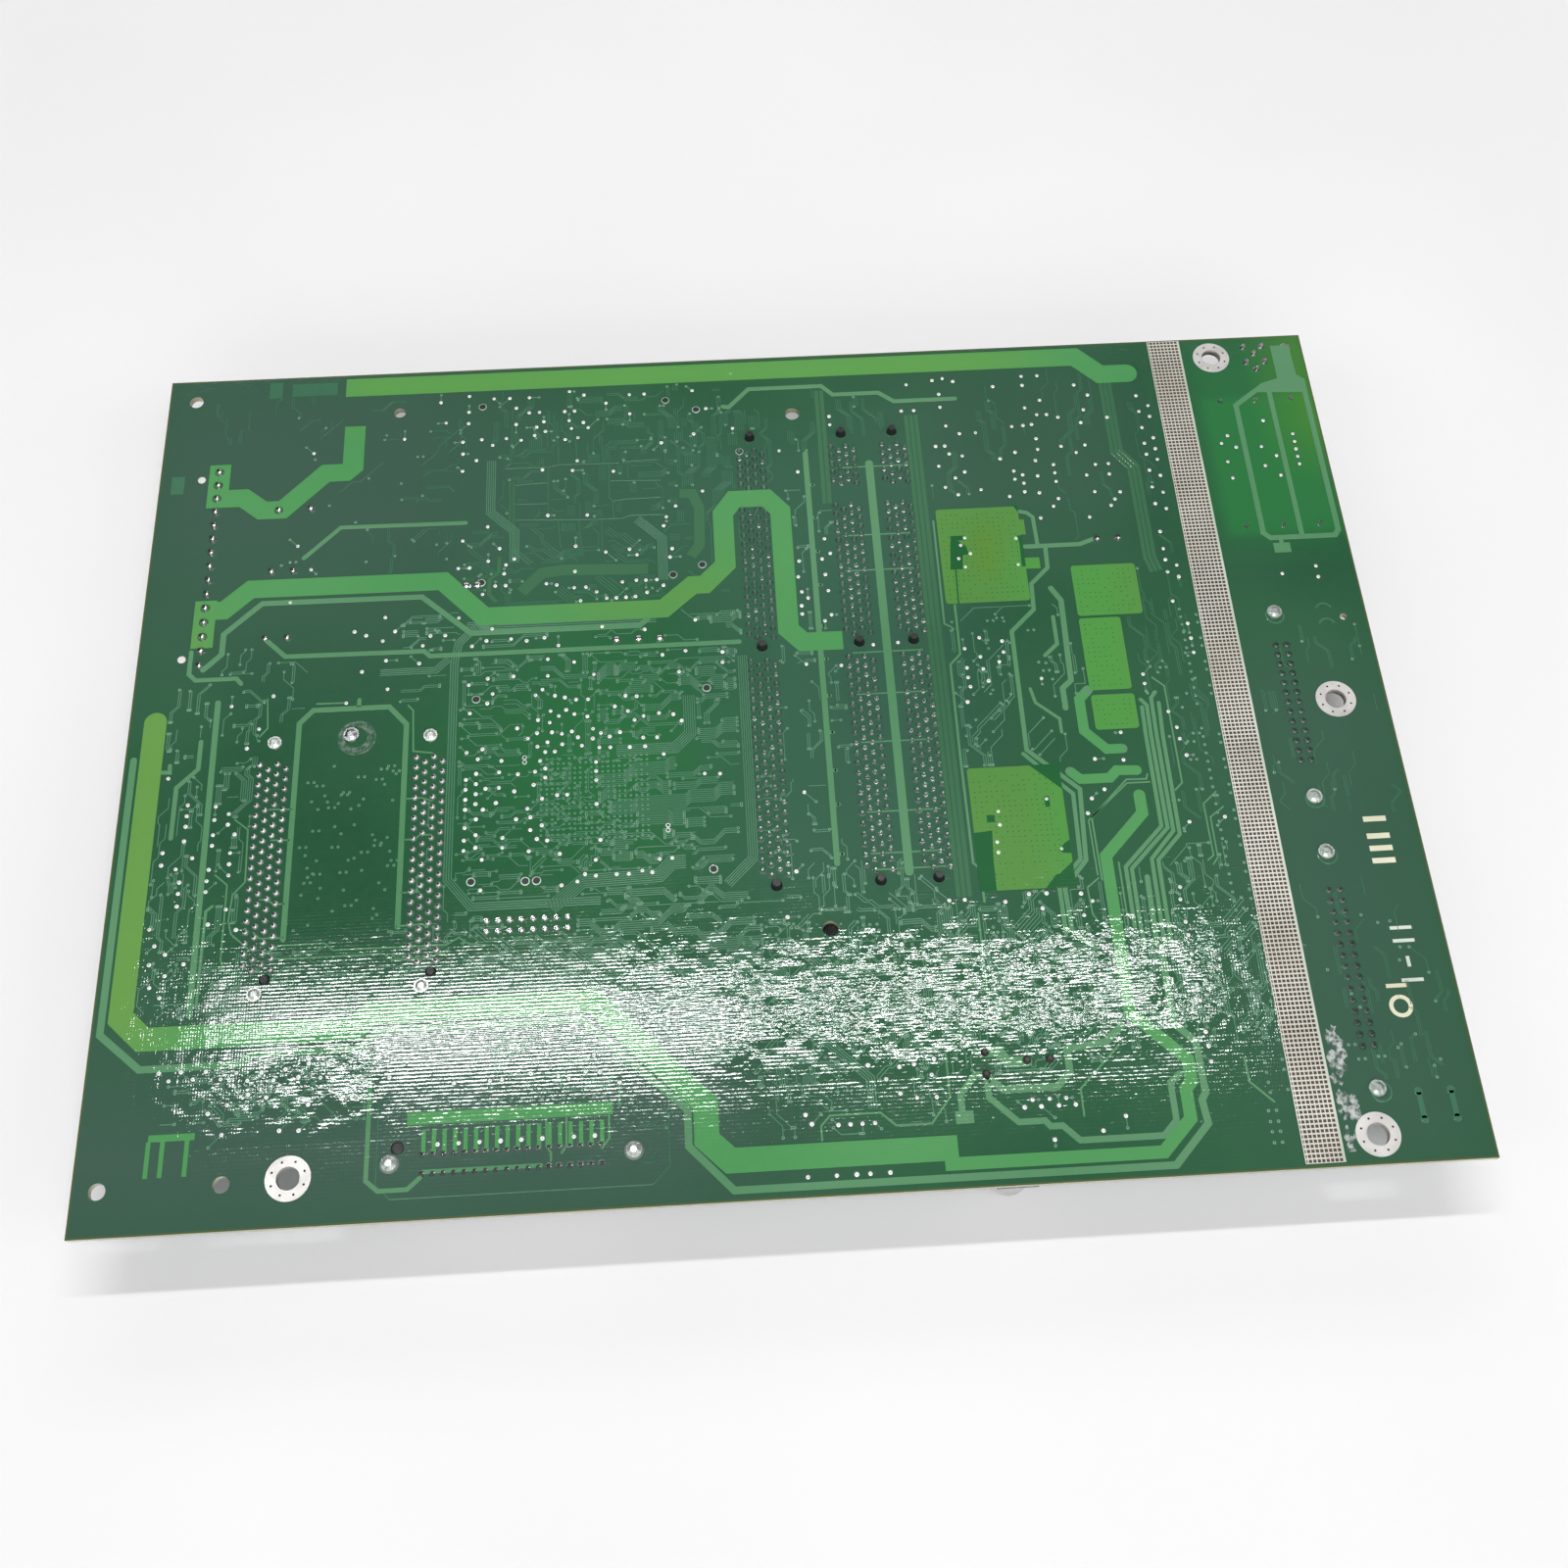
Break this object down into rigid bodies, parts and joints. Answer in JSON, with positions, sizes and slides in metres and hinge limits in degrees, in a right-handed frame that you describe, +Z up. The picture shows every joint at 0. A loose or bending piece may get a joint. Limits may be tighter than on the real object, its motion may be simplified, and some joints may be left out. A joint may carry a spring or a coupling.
{
  "type": "printer formatter board",
  "caption": "Large printer controller board lying solder side up, with memory sockets and ejector latches, expansion sockets, headers and capacitors beneath.",
  "frame": {"origin": "centre of the board's outline, on the plane that the tallest parts of the component side rest on", "axes": "+Z up, out of the solder side; +X along the long edge towards the cable sockets; +Y towards the edge with the small relay"},
  "size_m": [0.2922, 0.216, 0.0233],
  "materials": {
    "solder_mask": "satin green solder mask over glass laminate",
    "mask_over_copper": "satin green solder mask over thick copper",
    "bare_tin": "bare tin-lead finish, slightly dulled",
    "black_plastic": "matt glass-filled moulding",
    "latch_plastic": "satin moulding",
    "ivory_plastic": "satin nylon moulding",
    "gilt_contact": "bright plated spring",
    "solder": "bright soldered tin",
    "plated_steel": "plated pressed steel",
    "potting_case": "matt moulded case",
    "can_sleeve": "shrunk sleeve",
    "can_metal": "drawn can",
    "chip_resin": "moulded resin",
    "heat_spreader": "moulded resin",
    "ferrite": "matt ferrite",
    "filter_coat": "dipped coating",
    "ceramic": "fired ceramic"
  },
  "bodies": {
    "board": {"pcb": "solder_mask", "power_tracks": "mask_over_copper", "copper_patches": "mask_over_copper", "contact_strip": "bare_tin", "mount_rings": "bare_tin", "memory_socket_1": "black_plastic", "memory_socket_2": "black_plastic", "memory_socket_3": "black_plastic", "memory_contacts_1": "gilt_contact", "memory_contacts_2": "gilt_contact", "memory_contacts_3": "gilt_contact", "memory_solder_1": "solder", "memory_solder_2": "solder", "memory_solder_3": "solder", "expansion_socket_1": "black_plastic", "expansion_socket_2": "black_plastic", "expansion_contacts_1": "gilt_contact", "expansion_contacts_2": "gilt_contact", "expansion_solder": "solder", "expansion_locks": "solder", "ribbon_shell": "plated_steel", "ribbon_body": "black_plastic", "ribbon_contacts": "gilt_contact", "ribbon_solder": "solder", "ribbon_locks": "solder", "power_header": "ivory_plastic", "power_pins": "solder", "small_header": "black_plastic", "small_pins": "solder", "upper_cable_socket": "ivory_plastic", "lower_cable_socket": "ivory_plastic", "cable_pins": "solder", "cable_locks": "solder", "power_module": "potting_case", "module_pins": "solder", "relay": "potting_case", "relay_pins": "solder", "card_standoff": "plated_steel", "bulk_can": "can_sleeve", "small_cans": "can_sleeve", "can_leads": "solder", "edge_can": "can_metal", "edge_can_base": "black_plastic", "processor": "heat_spreader", "controller": "chip_resin", "controller_leads": "solder", "memory_chips": "chip_resin", "chip_leads": "solder", "regulators": "chip_resin", "power_inductors": "ferrite", "line_choke": "ferrite", "three_pin_filter": "filter_coat", "chip_capacitors": "ceramic"},
    "latch_1_back": {"latch_1_back": "latch_plastic"},
    "latch_1_front": {"latch_1_front": "latch_plastic"},
    "latch_2_back": {"latch_2_back": "latch_plastic"},
    "latch_2_front": {"latch_2_front": "latch_plastic"},
    "latch_3_back": {"latch_3_back": "latch_plastic"},
    "latch_3_front": {"latch_3_front": "latch_plastic"}
  },
  "joints": [
    {"name": "latch_1_back_pivot", "type": "hinge", "parent": "board", "child": "latch_1_back", "pos_m": [0.0009, 0.09173, 0.0158], "axis": [1, 0, 0], "range_deg": [0, 25]},
    {"name": "latch_1_front_pivot", "type": "hinge", "parent": "board", "child": "latch_1_front", "pos_m": [0.0009, -0.04843, 0.0158], "axis": [-1, 0, 0], "range_deg": [0, 25]},
    {"name": "latch_2_back_pivot", "type": "hinge", "parent": "board", "child": "latch_2_back", "pos_m": [0.024, 0.09173, 0.0158], "axis": [1, 0, 0], "range_deg": [0, 25]},
    {"name": "latch_2_front_pivot", "type": "hinge", "parent": "board", "child": "latch_2_front", "pos_m": [0.024, -0.04843, 0.0158], "axis": [-1, 0, 0], "range_deg": [0, 25]},
    {"name": "latch_3_back_pivot", "type": "hinge", "parent": "board", "child": "latch_3_back", "pos_m": [0.0369, 0.09173, 0.0158], "axis": [1, 0, 0], "range_deg": [0, 25]},
    {"name": "latch_3_front_pivot", "type": "hinge", "parent": "board", "child": "latch_3_front", "pos_m": [0.0369, -0.04843, 0.0158], "axis": [-1, 0, 0], "range_deg": [0, 25]}
  ]
}
